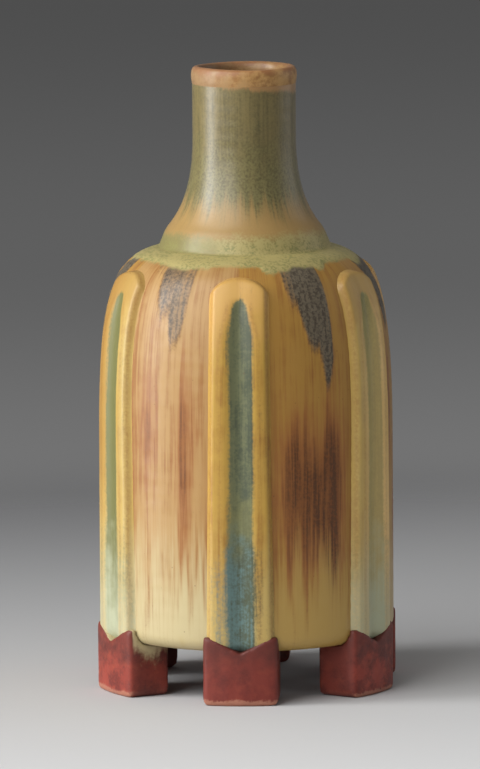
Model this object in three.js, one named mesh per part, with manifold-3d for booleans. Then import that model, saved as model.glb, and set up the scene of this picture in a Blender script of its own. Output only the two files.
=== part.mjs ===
// Bottle-shaped stoneware vase on six block feet.
// The pot is built up from thrown rings and hand-cut slabs that are luted together with slip:
// a floor slab, a straight barrel, a domed shoulder, a flared collar, a neck and a rolled lip,
// with six fluted pilasters laid on the wall and six notched feet under them.
// Millimetres, +Z up. The origin is on the vase's axis, at the level that the feet stand on.

import * as THREE from "three";
import { mergeVertices } from "three/addons/utils/BufferGeometryUtils.js";
import Module from "manifold-3d";

const wasm = await Module();
wasm.setup();

// Luted joints: every upper ring drops a spigot into a rebate in the ring below.
const seam = 0.3; // slip-filled gap between two joined pieces
const lap = 4; // depth of the spigots between walls of equal thickness

// Feet
const sideCount = 6; // feet, and pilasters above them
const seatHeight = 26; // the underside of the pot above the ground
const footWidth = 37;
const footProud = 3.5; // the foot's front face in front of the barrel wall
const footInnerRadius = 57;
const footEdge = 2; // rounding of the foot's top and bottom front edges
const footCorner = 6; // rounding of the foot's upright front corners
const footToe = 4; // rounding of the foot's lower corners, seen from the front
const hornRise = 1; // the foot's horns above the pot's rounded bottom corner
const notchWidth = 31; // V-notch between the horns, for the pilaster's tail
const notchDepth = 8;

// Floor slab and barrel
const barrelRadius = 73.5;
const wall = 6;
const bottomCorner = 7; // rounding of the pot's bottom edge
const slabThickness = 8;
const ledgeHeight = 4; // the barrel stands on a ledge this far above the underside
const dishRadius = 52; // turned recess in the underside
const dishDepth = 1.5;
const barrelHeight = 99; // underside to shoulder seam

// Shoulder: a curve that leaves the barrel upright and runs out nearly flat at the crown
const shoulderHeight = 94.5;
const crownRadius = 45;
const shoulderRise = 67; // how far the curve keeps close to the barrel's line
const crownReach = 23.5; // how far it keeps close to the crown's slope
const crownFall = 7; // drop of the crown over that reach
const openingRadius = 36; // hole in the crown for the collar's spigot

// Collar
const collarFootRadius = 43.3;
const collarEdgeRadius = 39.5;
const bandHeight = 9.5; // steep band from the crown up to the collar's edge
const edgeRounding = 2;
const flareHeight = 46; // from that edge up to the neck
const flareWaist = 31; // how far the neck's line keeps straight into the flare
const collarSpigotWall = 4.2;

// Neck and lip
const neckRadius = 25.8;
const neckWall = 4.8;
const neckLength = 26.5;
const lipHeight = 8.5;
const lipProud = 0.5; // the rolled lip in front of the neck

// Pilasters
const pilasterWidth = 36;
const pilasterTopWidth = 31;
const pilasterRelief = 3;
const pilasterEdge = 1.2; // height of the softened outer edge
const edgeWidth = 2; // width of that softening
const crownMargin = 16; // bare shoulder between the pilaster's arch and the crown's edge
const fluteWidth = 15;
const fluteDepth = 1.6;
const archWidth = 12; // full-height band round the flute's upper end

// Facets
const bodySegments = 42;
const neckSegments = 32;
const footSegments = 72;
const curveSteps = 8;
const uprightRows = 2; // rows of a pilaster on the barrel
const bentRows = 12; // and on the shoulder

// Levels above the ground
const barrelTop = seatHeight + barrelHeight;
const crownTop = barrelTop + shoulderHeight;
const collarEdgeTop = crownTop + bandHeight;
const neckFoot = collarEdgeTop + flareHeight;
const neckTop = neckFoot + neckLength;
const lipTop = neckTop + lipHeight;
const cornerLevel = seatHeight + bottomCorner;
const hornTop = cornerLevel + hornRise;
const cornerRadius = barrelRadius - bottomCorner; // where the rounded bottom edge starts

// Finishes
const ochreGlaze = { color: 0xc79a52, roughness: 0.35, metalness: 0 };
const brownGlaze = { color: 0x7a4a2a, roughness: 0.35, metalness: 0 };
const oliveGlaze = { color: 0x8d8157, roughness: 0.35, metalness: 0 };
const tanGlaze = { color: 0xa97c48, roughness: 0.4, metalness: 0 };
const brickGlaze = { color: 0x9a4233, roughness: 0.55, metalness: 0 };
const bareClay = { color: 0x6b4a38, roughness: 0.85, metalness: 0 };

const at = (radius, level) => new THREE.Vector2(radius, level);

// A solid of revolution about the vase's axis, from a closed outline of radius and level.
function revolve(outline, segments) {
  const closed = outline[0].x === 0 ? outline : [...outline, outline[0]];
  return new THREE.LatheGeometry(closed, segments).rotateX(Math.PI / 2);
}

// The inner face of a wall: each point of its outer face, moved in along the normal.
function inset(points, thickness) {
  return points.map((point, i) => {
    const before = points[Math.max(i - 1, 0)];
    const after = points[Math.min(i + 1, points.length - 1)];
    const along = after.clone().sub(before).normalize();
    return at(point.x - along.y * thickness, point.y + along.x * thickness);
  });
}

// The foot of an upper ring, from its inner face round the spigot to its outer face.
function spigot(inner, outer, level) {
  const middle = (inner + outer - seam) / 2;
  return [at(inner, level - lap), at(middle, level - lap), at(middle, level), at(outer, level)];
}

// The top of the ring below it, from its outer face over the rebate to its inner face.
function rebate(inner, outer, level) {
  const middle = (inner + outer + seam) / 2;
  const top = level - seam;
  return [at(outer, top), at(middle, top), at(middle, top - lap), at(inner, top - lap)];
}

// The quarter circle of the pot's bottom edge, from one level up to another, set out by a gap.
function bottomArc(gap, fromLevel, toLevel) {
  const radius = bottomCorner + gap;
  const angle = (level) => Math.asin(THREE.MathUtils.clamp((level - cornerLevel) / radius, -1, 0));
  const arc = new THREE.Path().absarc(cornerRadius, cornerLevel, radius, angle(fromLevel), angle(toLevel));
  return arc.getPoints(curveSteps / 2);
}

function solidOf(geometry) {
  const bare = geometry.clone();
  bare.deleteAttribute("normal");
  bare.deleteAttribute("uv");
  const merged = mergeVertices(bare, 1e-4);
  return new wasm.Manifold(
    new wasm.Mesh({
      numProp: 3,
      vertProperties: merged.attributes.position.array,
      triVerts: new Uint32Array(merged.index.array),
    }),
  );
}

function geometryOf(solid) {
  const mesh = solid.getMesh();
  const geometry = new THREE.BufferGeometry();
  geometry.setAttribute("position", new THREE.BufferAttribute(mesh.vertProperties, 3));
  geometry.setIndex(new THREE.BufferAttribute(mesh.triVerts, 1));
  geometry.computeVertexNormals();
  return geometry;
}

// Floor: a slab with a dished underside, a ledge for the barrel and a boss inside it.
function baseSlab() {
  const ledge = seatHeight + ledgeHeight;
  return revolve(
    [
      at(0, seatHeight + dishDepth),
      at(dishRadius - dishDepth, seatHeight + dishDepth),
      at(dishRadius, seatHeight),
      ...bottomArc(0, seatHeight, ledge),
      at(barrelRadius - wall - seam, ledge),
      at(barrelRadius - wall - seam, seatHeight + slabThickness),
      at(0, seatHeight + slabThickness),
    ],
    bodySegments,
  );
}

function barrelWall() {
  const foot = seatHeight + ledgeHeight + seam;
  return revolve(
    [
      at(barrelRadius - wall, foot),
      ...bottomArc(0, foot, cornerLevel),
      ...rebate(barrelRadius - wall, barrelRadius, barrelTop),
    ],
    bodySegments,
  );
}

const shoulderCurve = new THREE.CubicBezierCurve(
  at(barrelRadius, barrelTop),
  at(barrelRadius, barrelTop + shoulderRise),
  at(crownRadius + crownReach, crownTop - crownFall),
  at(crownRadius, crownTop),
);

function shoulderDome() {
  const outer = shoulderCurve.getPoints(curveSteps);
  const inner = inset(outer, wall).reverse();
  return revolve(
    [
      ...spigot(barrelRadius - wall, barrelRadius, barrelTop),
      ...outer.slice(1),
      at(openingRadius, crownTop),
      at(openingRadius, crownTop - wall),
      ...inner.slice(0, -1),
    ],
    bodySegments,
  );
}

// Collar: a steep band, a rounded edge, and a flare that runs up into the neck's line.
function neckCollar() {
  const foot = crownTop + seam;
  const spigotRadius = openingRadius - seam;
  const throatRadius = spigotRadius - collarSpigotWall;
  const innerNeck = neckRadius - neckWall;
  const edge = at(collarEdgeRadius, collarEdgeTop);
  const bend = at(neckRadius, neckFoot - flareWaist);
  const flare = new THREE.QuadraticBezierCurve(edge, bend, at(neckRadius, neckFoot));
  const rounded = flare.getPoint(edgeRounding / flareHeight);
  const bandFoot = at(collarFootRadius, foot);
  const bandTop = edge.clone().lerp(bandFoot, edgeRounding / bandHeight);
  const edgeCurve = new THREE.QuadraticBezierCurve(bandTop, edge, rounded);
  const throat = new THREE.QuadraticBezierCurve(
    at(innerNeck, neckFoot - seam - lap),
    at(innerNeck, neckFoot - flareWaist),
    at(throatRadius, crownTop),
  );
  return revolve(
    [
      at(throatRadius, crownTop - wall),
      at(spigotRadius, crownTop - wall),
      at(spigotRadius, foot),
      bandFoot,
      ...edgeCurve.getPoints(curveSteps / 2),
      ...flare.getPoints(curveSteps).slice(1, -1),
      ...rebate(innerNeck, neckRadius, neckFoot),
      ...throat.getPoints(curveSteps / 2).slice(1),
    ],
    neckSegments,
  );
}

function neckTube() {
  const inner = neckRadius - neckWall;
  const outline = [...spigot(inner, neckRadius, neckFoot), ...rebate(inner, neckRadius, neckTop)];
  return revolve(outline, neckSegments);
}

// Lip: a rolled bead that swells out of the neck's line and rounds over into the mouth.
function lipRing() {
  const inner = neckRadius - neckWall;
  const proud = neckRadius + lipProud;
  const middle = (inner + proud) / 2;
  const bead = new THREE.Path()
    .moveTo(neckRadius, neckTop)
    .quadraticCurveTo(proud, neckTop + lipHeight / 4, proud, neckTop + lipHeight / 2)
    .quadraticCurveTo(proud, lipTop, middle, lipTop)
    .quadraticCurveTo(inner, lipTop, inner, neckTop + lipHeight / 2);
  const outline = [...spigot(inner, neckRadius, neckTop), ...bead.getPoints(curveSteps / 2).slice(1)];
  return revolve(outline, neckSegments);
}

// The line up the outside of the wall that a pilaster lies on, from the notch up to the crown.
const upright = new THREE.LineCurve(at(barrelRadius, hornTop - notchDepth), at(barrelRadius, barrelTop));
const uprightLength = upright.getLength();
const wallLine = new THREE.CurvePath();
wallLine.add(upright);
wallLine.add(shoulderCurve);
const wallLength = wallLine.getLength();

// How far up that line a row of the pilaster lies, closer together where the shoulder bends.
function rowHeight(row, start, end) {
  if (row <= uprightRows) return THREE.MathUtils.lerp(start, uprightLength, row / uprightRows);
  return THREE.MathUtils.lerp(uprightLength, end, ((row - uprightRows) / bentRows) ** 0.8);
}

// Height of a pilaster's front over the wall, across its width and up its length.
function pilasterFront(across, halfWidth, belowArch) {
  const edgeShare = THREE.MathUtils.clamp((halfWidth - Math.abs(across)) / edgeWidth, 0, 1);
  const endShare = THREE.MathUtils.clamp(belowArch / edgeWidth, 0, 1);
  const crown = THREE.MathUtils.lerp(pilasterEdge, pilasterRelief, Math.min(edgeShare, endShare));
  const trough = Math.max(0, 1 - (2 * across / fluteWidth) ** 2);
  return crown - fluteDepth * trough * THREE.MathUtils.smoothstep(belowArch, archWidth, archWidth * 1.5);
}

// Pilaster: a strap bent up the wall and over the shoulder, with a flute down its middle,
// an arched upper end and a V-shaped tail that drops between the horns of the foot.
function pilaster() {
  const halfBase = pilasterWidth / 2;
  const face = [fluteWidth / 4, fluteWidth / 2, notchWidth / 3, notchWidth / 2];
  const steps = [...face, halfBase - edgeWidth, halfBase];
  const columns = [0, ...steps, ...steps.map((step) => -step)].sort((a, b) => a - b);
  const archLength = wallLength - crownMargin;
  const tailGap = 1.4 * seam; // keeps the seam's width square to the notch's slanted sides
  const front = [];
  const back = [];
  for (let row = 0; row <= uprightRows + bentRows; row++) {
    for (const column of columns) {
      const share = column / halfBase;
      const tail = Math.max(0, 1 - Math.abs(column) / (notchWidth / 2));
      const start = tailGap + notchDepth * (1 - tail);
      const end = archLength - (pilasterTopWidth / 2) * (1 - Math.sqrt(1 - share ** 2));
      const height = rowHeight(row, start, end);
      const halfWidth = THREE.MathUtils.lerp(pilasterWidth, pilasterTopWidth, height / archLength) / 2;
      const point = wallLine.getPoint(height / wallLength);
      const along = wallLine.getTangent(height / wallLength);
      const place = (over) => {
        const radius = point.x + along.y * over;
        const angle = (share * halfWidth) / point.x;
        const level = point.y - along.x * over;
        return new THREE.Vector3(radius * Math.sin(angle), -radius * Math.cos(angle), level);
      };
      front.push(place(pilasterFront(share * halfWidth, halfWidth, end - height)));
      back.push(place(seam));
    }
  }
  return stitch(front, back, columns.length);
}

// A closed skin over two grids of points, one in front of the other.
function stitch(front, back, columnCount) {
  const faces = [];
  const quad = (a, b, c, d) => faces.push(a, b, c, a, c, d);
  const rear = front.length;
  const rowCount = rear / columnCount;
  const index = (row, column) => row * columnCount + column;
  for (let row = 0; row + 1 < rowCount; row++) {
    for (let column = 0; column + 1 < columnCount; column++) {
      const corners = [index(row, column), index(row, column + 1)];
      corners.push(index(row + 1, column + 1), index(row + 1, column));
      quad(...corners);
      quad(...corners.map((corner) => corner + rear).reverse());
    }
  }
  const rim = [];
  for (let column = 0; column + 1 < columnCount; column++) rim.push(index(0, column));
  for (let row = 0; row + 1 < rowCount; row++) rim.push(index(row, columnCount - 1));
  for (let column = columnCount - 1; column > 0; column--) rim.push(index(rowCount - 1, column));
  for (let row = rowCount - 1; row > 0; row--) rim.push(index(row, 0));
  rim.forEach((here, i) => {
    const next = rim[(i + 1) % rim.length];
    quad(next, here, here + rear, next + rear);
  });
  const geometry = new THREE.BufferGeometry().setFromPoints([...front, ...back]);
  geometry.setIndex(faces);
  geometry.computeVertexNormals();
  return geometry;
}

// Foot: a bracket that carries the slab and wraps the pot's bottom edge, with two horns and a V-notch.
function foot() {
  const frontRadius = barrelRadius + footProud;
  const section = new THREE.Path()
    .moveTo(footInnerRadius, 0)
    .lineTo(frontRadius - footEdge, 0)
    .quadraticCurveTo(frontRadius, 0, frontRadius, footEdge)
    .lineTo(frontRadius, hornTop - footEdge)
    .quadraticCurveTo(frontRadius, hornTop, frontRadius - footEdge, hornTop)
    .lineTo(barrelRadius + seam, hornTop);
  const seat = bottomArc(seam, seatHeight - seam, cornerLevel).reverse();
  const outline = [...section.getPoints(curveSteps / 2), ...seat, at(footInnerRadius, seatHeight - seam)];
  const ring = solidOf(revolve(outline, footSegments));

  const side = footWidth / 2;
  const face = new THREE.Shape()
    .moveTo(footToe - side, 0)
    .lineTo(side - footToe, 0)
    .quadraticCurveTo(side, 0, side, footToe)
    .lineTo(side, hornTop)
    .lineTo(notchWidth / 2, hornTop)
    .lineTo(0, hornTop - notchDepth)
    .lineTo(-notchWidth / 2, hornTop)
    .lineTo(-side, hornTop)
    .lineTo(-side, footToe)
    .quadraticCurveTo(-side, 0, footToe - side, 0);
  const blockOptions = { bevelEnabled: false, curveSegments: curveSteps / 2 };
  const faceBlock = new THREE.ExtrudeGeometry(face, { ...blockOptions, depth: frontRadius });

  const plan = new THREE.Shape()
    .moveTo(-side, 0)
    .lineTo(side, 0)
    .lineTo(side, frontRadius - footCorner)
    .quadraticCurveTo(side, frontRadius, side - footCorner, frontRadius)
    .lineTo(footCorner - side, frontRadius)
    .quadraticCurveTo(-side, frontRadius, -side, frontRadius - footCorner);
  const planBlock = new THREE.ExtrudeGeometry(plan, { ...blockOptions, depth: hornTop }).rotateZ(Math.PI);

  const block = solidOf(faceBlock.rotateX(Math.PI / 2)).intersect(solidOf(planBlock));
  return geometryOf(ring.intersect(block));
}

const vase = new THREE.Group();

function add(name, geometry, finish, turn = 0) {
  const mesh = new THREE.Mesh(geometry, new THREE.MeshStandardMaterial(finish));
  mesh.name = name;
  mesh.rotation.z = turn;
  vase.add(mesh);
}

add("base_slab", baseSlab(), bareClay);
add("barrel_wall", barrelWall(), brownGlaze);
add("shoulder_dome", shoulderDome(), brownGlaze);
add("neck_collar", neckCollar(), oliveGlaze);
add("neck_tube", neckTube(), oliveGlaze);
add("lip_ring", lipRing(), tanGlaze);

const pilasterShape = pilaster();
const footShape = foot();
for (let side = 0; side < sideCount; side++) {
  const turn = (side * 2 * Math.PI) / sideCount;
  add(`pilaster_${side + 1}`, pilasterShape, ochreGlaze, turn);
  add(`foot_${side + 1}`, footShape, brickGlaze, turn);
}

export default vase;
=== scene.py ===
"""The looks of a bottle-shaped stoneware vase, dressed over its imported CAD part.

Sizes here are millimetres until a mesh or a light is made, because Blender works in metres. The vase stands
on level 0 with its axis on Z, and its front, where the first pilaster and foot are, faces -Y. Angles run
round the axis from the front towards +X, so panel 0 is right of the front pilaster and the last left of it.
"""

import logging
import math
import random
from dataclasses import dataclass, field
from enum import Enum
from typing import Callable, Mapping, Optional, Union

import bmesh
import bpy
import numpy as np
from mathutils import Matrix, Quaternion, Vector


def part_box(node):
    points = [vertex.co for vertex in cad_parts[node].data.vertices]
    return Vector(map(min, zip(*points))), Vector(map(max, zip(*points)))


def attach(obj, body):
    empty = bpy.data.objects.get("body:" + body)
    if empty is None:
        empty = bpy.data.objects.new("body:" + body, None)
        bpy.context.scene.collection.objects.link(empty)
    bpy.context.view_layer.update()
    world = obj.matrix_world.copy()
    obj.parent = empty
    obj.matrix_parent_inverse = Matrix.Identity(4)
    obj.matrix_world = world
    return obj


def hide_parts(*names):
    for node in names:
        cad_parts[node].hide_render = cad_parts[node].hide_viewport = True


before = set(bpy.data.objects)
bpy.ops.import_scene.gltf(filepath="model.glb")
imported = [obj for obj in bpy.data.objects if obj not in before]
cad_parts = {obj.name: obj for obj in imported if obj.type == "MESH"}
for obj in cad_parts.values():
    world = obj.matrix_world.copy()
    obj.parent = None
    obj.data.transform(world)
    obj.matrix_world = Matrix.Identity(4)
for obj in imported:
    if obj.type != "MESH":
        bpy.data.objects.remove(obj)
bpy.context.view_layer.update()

LOG = logging.getLogger("stoneware_vase")
MM = 0.001
WELD = 1e-6
TURN = 2 * math.pi
SIDES = 6
PILASTERS = tuple(f"pilaster_{side + 1}" for side in range(SIDES))
FEET = tuple(f"foot_{side + 1}" for side in range(SIDES))

Colour = tuple[float, float, float, float]


class Film(Enum):
    """The layers of glaze, wear and painted sheen that a mesh carries as point attributes, from 0 to 1."""

    GREEN = "green_film"
    SLATE = "slate_film"
    IRON = "iron_film"
    POOL = "flute_pool"
    RIDGE = "thin_ridge"
    BLUSH_AND_SHEEN = "blush_and_painted_sheen"
    OUTER_FACE = "outer_face"


class Face(Enum):
    """The material place of a ring's outer and inner faces."""

    OUTSIDE = 0
    INSIDE = 1


def srgb(red: int, green: int, blue: int) -> Colour:
    """Turns a display colour into the linear colour that shaders read.

    Args:
        red: Red, 0 to 255.
        green: Green, 0 to 255.
        blue: Blue, 0 to 255.

    Returns:
        The linear colour with full alpha.
    """
    linear = []
    for part in (red / 255, green / 255, blue / 255):
        linear.append(part / 12.92 if part <= 0.04045 else ((part + 0.055) / 1.055) ** 2.4)
    return (linear[0], linear[1], linear[2], 1.0)


def ease(low: float, high: float, value: np.ndarray) -> np.ndarray:
    """A smooth step from 0 at low to 1 at high.

    Args:
        low: Where the step starts.
        high: Where it ends; it may be under low.
        value: Where the step is read.

    Returns:
        The step's height at each value.
    """
    share = np.clip((np.asarray(value, float) - low) / (high - low), 0, 1)
    return share * share * (3 - 2 * share)


def bezier(*handles: tuple[float, float], steps: int) -> np.ndarray:
    """Points on a Bezier curve.

    Args:
        handles: Its end points and handles, as radius and level.
        steps: How many stretches the curve is cut into.

    Returns:
        The points, end points included, as rows of radius and level.
    """
    share = np.linspace(0, 1, steps + 1)[:, None]
    order = len(handles) - 1
    weights = [math.comb(order, i) * share**i * (1 - share) ** (order - i) for i in range(order + 1)]
    return sum(weight * np.array(handle) for weight, handle in zip(weights, handles))


class Wire:
    """An output socket whose arithmetic adds Math nodes to its tree."""

    def __init__(self, web: "Web", socket: Optional[bpy.types.NodeSocket]) -> None:
        """Keeps the socket, which an end node has none of, and the web that it belongs to."""
        self.web = web
        self.socket = socket

    def __add__(self, other: "Number") -> "Wire":
        """The sum."""
        return self.web.math("ADD", self, other)

    def __radd__(self, other: "Number") -> "Wire":
        """The sum, with a number first."""
        return self.web.math("ADD", other, self)

    def __sub__(self, other: "Number") -> "Wire":
        """The difference."""
        return self.web.math("SUBTRACT", self, other)

    def __rsub__(self, other: "Number") -> "Wire":
        """The difference, with a number first."""
        return self.web.math("SUBTRACT", other, self)

    def __mul__(self, other: "Number") -> "Wire":
        """The product."""
        return self.web.math("MULTIPLY", self, other)

    def __rmul__(self, other: "Number") -> "Wire":
        """The product, with a number first."""
        return self.web.math("MULTIPLY", other, self)

    def __truediv__(self, other: "Number") -> "Wire":
        """The quotient."""
        return self.web.math("DIVIDE", self, other)

    def __rtruediv__(self, other: "Number") -> "Wire":
        """The quotient, with a number first."""
        return self.web.math("DIVIDE", other, self)

    def __neg__(self) -> "Wire":
        """The value with its sign turned."""
        return self.web.math("MULTIPLY", self, -1.0)

    def __abs__(self) -> "Wire":
        """The value without its sign."""
        return self.web.math("ABSOLUTE", self)

    def step(self, low: "Number", high: "Number") -> "Wire":
        """A smooth step of this value.

        Args:
            low: Where the step is 0.
            high: Where the step is 1; it may be under low.

        Returns:
            The step's height, from 0 to 1.
        """
        settings = {"interpolation_type": "SMOOTHSTEP"}
        inputs = {"Value": self, "From Min": low, "From Max": high}
        return self.web.node("ShaderNodeMapRange", settings, inputs)


Number = Union[Wire, float]


class Web:
    """A shader or geometry tree that is written as expressions."""

    def __init__(self, tree: bpy.types.NodeTree) -> None:
        """Keeps the tree, which is empty."""
        self.tree = tree

    def node(
        self,
        kind: str,
        settings: Optional[Mapping[str, object]] = None,
        inputs: Optional[Mapping[Union[str, int], object]] = None,
        output: Union[str, int] = 0,
    ) -> Wire:
        """Adds a node.

        Args:
            kind: The node's type.
            settings: The node's own settings, which are set first.
            inputs: A value or a wire for each socket that is named or counted.
            output: The output socket that is wanted.

        Returns:
            That output.
        """
        made = self.tree.nodes.new(kind)
        for name, value in (settings or {}).items():
            setattr(made, name, value)
        for name, value in (inputs or {}).items():
            if isinstance(value, Wire):
                self.tree.links.new(value.socket, made.inputs[name])
            else:
                made.inputs[name].default_value = value
        return Wire(self, made.outputs[output] if len(made.outputs) else None)

    def math(self, operation: str, *values: Number) -> Wire:
        """A Math node on one or more values."""
        return self.node("ShaderNodeMath", {"operation": operation}, dict(enumerate(values)))

    def axes(self, vector: Wire) -> list[Wire]:
        """A vector's three parts."""
        return [self.node("ShaderNodeSeparateXYZ", {}, {0: vector}, axis) for axis in range(3)]

    def vector(self, *parts: Number) -> Wire:
        """A vector from its three parts."""
        return self.node("ShaderNodeCombineXYZ", {}, dict(enumerate(parts)))

    def mix(self, share: Number, under: object, over: object) -> Wire:
        """Lays one colour over another.

        Args:
            share: How much of the upper colour shows.
            under: The lower colour.
            over: The upper colour.

        Returns:
            The blended colour.
        """
        return self.node("ShaderNodeMix", {"data_type": "RGBA"}, {0: share, 6: under, 7: over}, 2)

    def film(self, kind: Film) -> Wire:
        """One of the mesh's own glaze layers."""
        return self.node("ShaderNodeAttribute", {"attribute_name": kind.value}, {}, "Fac")


class Spot:
    """Where a shader is on the vase, and the clouds, streaks and specks that its colours are made of."""

    NOISE_SPAN = (0.26, 0.74)
    NOISE_ROUGHNESS = 0.55
    SPECK_CHANCE = 0.35
    SPECK_EDGE = 0.04

    def __init__(self, web: Web, girth: float) -> None:
        """Reads the Object coordinates.

        Args:
            web: The material's tree.
            girth: The radius at which streaks have their stated width; they taper towards the axis.
        """
        self.web = web
        self.place = web.node("ShaderNodeTexCoord", {}, {}, "Object")
        right, back, up = web.axes(self.place)
        self.right = right / MM
        self.front = -back / MM
        self.level = up / MM
        self.radius = web.math("SQRT", right * right + back * back) / MM
        self.angle = web.math("ARCTAN2", right, -back)
        share = web.math("FRACT", self.angle * (SIDES / TURN) + 0.5) - 0.5
        self.across = share * (TURN / SIDES) * self.radius
        self.every_other = web.math("COSINE", self.angle * (SIDES / 2)) * 0.5 + 0.5
        spread = girth / self.radius
        self.wrapped = (right * spread, back * spread, up)

    def cloud(self, size: float, seed: float, detail: float = 3.0) -> Wire:
        """Cloudy variation, from 0 to 1.

        Args:
            size: The clouds' width in millimetres.
            seed: Which clouds.
            detail: How fine the clouds break up.

        Returns:
            The clouds' density.
        """
        return self.noise(self.place, size, seed, detail)

    def streak(self, width: float, length: float, seed: float, detail: float = 3.0) -> Wire:
        """Streaks that run down the wall, from 0 to 1.

        Args:
            width: The streaks' width in millimetres.
            length: The streaks' length in millimetres.
            seed: Which streaks.
            detail: How fine the streaks break up.

        Returns:
            The streaks' density.
        """
        right, back, up = self.wrapped
        return self.noise(self.web.vector(right, back, up * (width / length)), width, seed, detail)

    def noise(self, place: Wire, size: float, seed: float, detail: float) -> Wire:
        """Noise of one size.

        Args:
            place: Where the noise is read.
            size: Its width in millimetres.
            seed: Which noise.
            detail: How fine it breaks up.

        Returns:
            The noise, stretched so that it fills 0 to 1.
        """
        inputs = {"Vector": place, "W": seed, "Scale": 1 / (size * MM), "Detail": detail}
        inputs["Roughness"] = self.NOISE_ROUGHNESS
        raw = self.web.node("ShaderNodeTexNoise", {"noise_dimensions": "4D"}, inputs)
        return raw.step(*self.NOISE_SPAN)

    def specks(self, pitch: float, size: float, seed: float) -> Wire:
        """Small round specks, 1 inside and 0 outside.

        Args:
            pitch: How far apart the specks are, in millimetres.
            size: The largest speck's radius as a share of the pitch.
            seed: Which specks.

        Returns:
            The specks' mask.
        """
        settings = {"voronoi_dimensions": "4D", "feature": "F1"}
        inputs = {"Vector": self.place, "W": seed, "Scale": 1 / (pitch * MM), "Randomness": 1.0}
        distance = self.web.node("ShaderNodeTexVoronoi", settings, inputs, "Distance")
        chance = self.web.node("ShaderNodeTexVoronoi", settings, inputs, "Color")
        lot = self.web.node("ShaderNodeSeparateColor", {}, {0: chance})
        reach = lot.step(self.SPECK_CHANCE, 1.0) * size
        return 1.0 - (distance - reach).step(-self.SPECK_EDGE, self.SPECK_EDGE)


@dataclass(frozen=True)
class Finish:
    """A fired surface. Each kind paints its own colour, and all share the glassy skin."""

    name: str
    slot: str
    girth: float
    roughness: float = 0.42
    coat: float = 0.10
    coat_roughness: float = 0.22
    ripple: float = 0.25
    ripple_height: float = 0.06
    fine_ripple: float = 0.35
    dull_spread: float = 0.12
    ior: float = 1.5
    specular: float = 0.4

    def paint(self, spot: Spot) -> Wire:
        """The surface's colour."""
        raise NotImplementedError

    def dullness(self, spot: Spot) -> Wire:
        """The surface's roughness: glossier and duller clouds."""
        return self.roughness + self.dull_spread * (spot.cloud(size=7.0, seed=3.1, detail=4.0) - 0.5)

    def gloss(self, spot: Spot) -> Number:
        """How much of the surface has a glassy coat."""
        return self.coat

    def material(self) -> bpy.types.Material:
        """Builds the material.

        Returns:
            A material with this finish's colour, gloss and fine relief.
        """
        made = bpy.data.materials.new(self.name)
        made.use_nodes = True
        made.node_tree.nodes.clear()
        web = Web(made.node_tree)
        spot = Spot(web, self.girth)
        coarse = spot.cloud(size=2.4, seed=7.7, detail=2.0)
        height = coarse + self.fine_ripple * spot.cloud(size=0.7, seed=1.3, detail=2.0)
        relief = {"Strength": self.ripple, "Distance": self.ripple_height * MM, "Height": height}
        sockets = {
            "Base Color": self.paint(spot),
            "Roughness": self.dullness(spot),
            "Normal": web.node("ShaderNodeBump", {}, relief),
            "Coat Weight": self.gloss(spot),
            "Coat Roughness": self.coat_roughness,
            "IOR": self.ior,
            "Specular IOR Level": self.specular,
        }
        skin = web.node("ShaderNodeBsdfPrincipled", {}, sockets)
        web.node("ShaderNodeOutputMaterial", {}, {"Surface": skin})
        return made


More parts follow.
